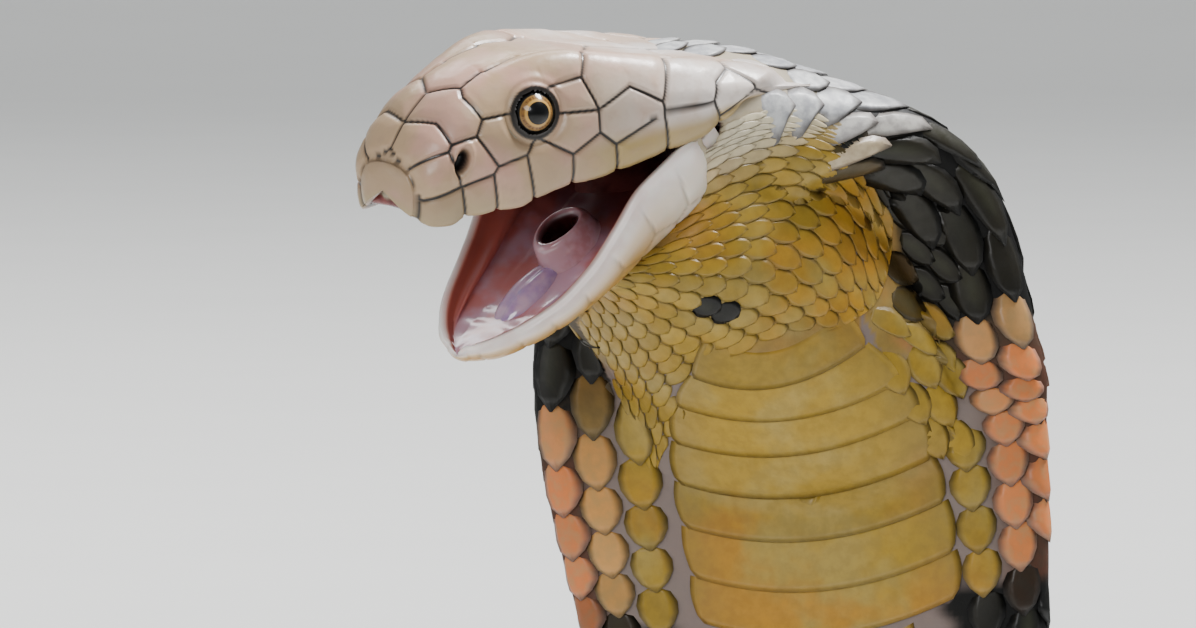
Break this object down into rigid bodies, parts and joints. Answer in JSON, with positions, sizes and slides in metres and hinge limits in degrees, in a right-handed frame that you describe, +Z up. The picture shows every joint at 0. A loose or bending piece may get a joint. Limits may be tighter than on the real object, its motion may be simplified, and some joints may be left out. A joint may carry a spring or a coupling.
{
  "type": "king cobra",
  "caption": "Life-size king cobra reared up from a loose coil on the floor, hood spread, head turned aside and mouth open, as a still museum model.",
  "frame": {"origin": "centre of the footprint's bounding box, on the floor", "axes": "+Z up, -Y towards the side the hood's belly faces, +X to the animal's left in the hood"},
  "size_m": [0.5222, 0.584, 0.701],
  "materials": {
    "head_skin": "satin scale plates, tan with near-black seams",
    "mouth_and_jaw": "moist, pale lips and pink mouth lining",
    "eye": "glossy, bronze iris with a round black pupil",
    "throat_and_hood_skin": "satin scales, olive yellow with black bands",
    "body_skin": "satin scales, olive black with pale cross bands"
  },
  "bodies": {
    "root": {"eye_left": "eye", "eye_right": "eye", "head": "head_skin", "lower_jaw": "mouth_and_jaw", "neck": "throat_and_hood_skin", "hood_upper": "throat_and_hood_skin", "hood_lower": "throat_and_hood_skin", "trunk_upper": "body_skin", "trunk_middle": "body_skin", "trunk_base": "body_skin", "coil_1": "body_skin", "coil_2": "body_skin", "coil_3": "body_skin", "coil_4": "body_skin", "coil_5": "body_skin", "coil_6": "body_skin", "tail_base": "body_skin", "tail_tip": "body_skin"}
  },
  "joints": []
}
